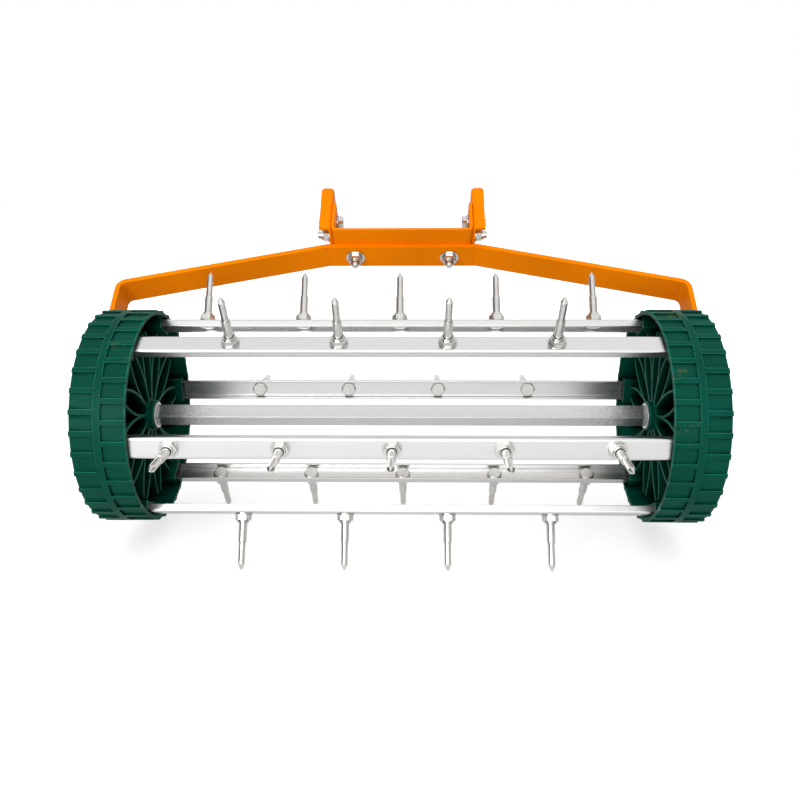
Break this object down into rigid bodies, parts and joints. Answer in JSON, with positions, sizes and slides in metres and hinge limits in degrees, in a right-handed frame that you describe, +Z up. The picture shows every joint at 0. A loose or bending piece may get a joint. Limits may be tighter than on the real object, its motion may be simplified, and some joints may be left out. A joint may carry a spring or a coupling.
{
  "type": "rolling spike aerator",
  "caption": "Rolling spike aerator head: a cage of spiked channel bars between two treaded wheels, turning in a bent flat-bar bail with a handle bracket.",
  "frame": {"origin": "on the ground, under the middle of the whole object's box", "axes": "+X along the axle towards the right wheel, seen from the front; +Z up; the front, -Y, is the side away from the handle bracket"},
  "size_m": [0.6112, 0.3408, 0.3293],
  "materials": {
    "orange_paint": "smooth powder coat, satin to semi-gloss",
    "green_plastic": "moulded, soft sheen",
    "galvanised_steel": "zinc coated with a faint spangle",
    "zinc_hardware": "bright zinc plated",
    "bronze": "plain sintered bronze"
  },
  "bodies": {
    "drum": {"axle_tube": "galvanised_steel", "wheel_rim_left": "green_plastic", "wheel_centre_left": "green_plastic", "tube_plug_left": "zinc_hardware", "hub_washer_left": "galvanised_steel", "journal_sleeve_left": "zinc_hardware", "axle_bolt_left": "zinc_hardware", "axle_bolt_washer_left": "zinc_hardware", "wheel_rim_right": "green_plastic", "wheel_centre_right": "green_plastic", "tube_plug_right": "zinc_hardware", "hub_washer_right": "galvanised_steel", "journal_sleeve_right": "zinc_hardware", "axle_bolt_right": "zinc_hardware", "axle_bolt_washer_right": "zinc_hardware", "bar_top_rear": "galvanised_steel", "spikes_top_rear": "zinc_hardware", "spike_washers_top_rear": "zinc_hardware", "spike_nuts_top_rear": "zinc_hardware", "bar_top_front": "galvanised_steel", "spikes_top_front": "zinc_hardware", "spike_washers_top_front": "zinc_hardware", "spike_nuts_top_front": "zinc_hardware", "bar_front": "galvanised_steel", "spikes_front": "zinc_hardware", "spike_washers_front": "zinc_hardware", "spike_nuts_front": "zinc_hardware", "bar_lower_front": "galvanised_steel", "spikes_lower_front": "zinc_hardware", "spike_washers_lower_front": "zinc_hardware", "spike_nuts_lower_front": "zinc_hardware", "bar_lower_rear": "galvanised_steel", "spikes_lower_rear": "zinc_hardware", "spike_washers_lower_rear": "zinc_hardware", "spike_nuts_lower_rear": "zinc_hardware", "bar_rear": "galvanised_steel", "spikes_rear": "zinc_hardware", "spike_washers_rear": "zinc_hardware", "spike_nuts_rear": "zinc_hardware"},
    "frame": {"bail": "orange_paint", "handle_bracket": "orange_paint", "handle_strap_left": "orange_paint", "handle_strap_right": "orange_paint", "bail_bolts": "zinc_hardware", "bail_washers": "zinc_hardware", "bail_nuts": "zinc_hardware", "strap_bolts": "zinc_hardware", "strap_inner_washers": "zinc_hardware", "strap_outer_washers": "zinc_hardware", "strap_nuts": "zinc_hardware", "axle_bush_left": "bronze", "axle_bush_right": "bronze"}
  },
  "joints": [
    {"name": "bail_swing", "type": "hinge", "parent": "drum", "child": "frame", "pos_m": [0, -0.02544, 0.12587], "axis": [1, 0, 0], "continuous": true}
  ]
}
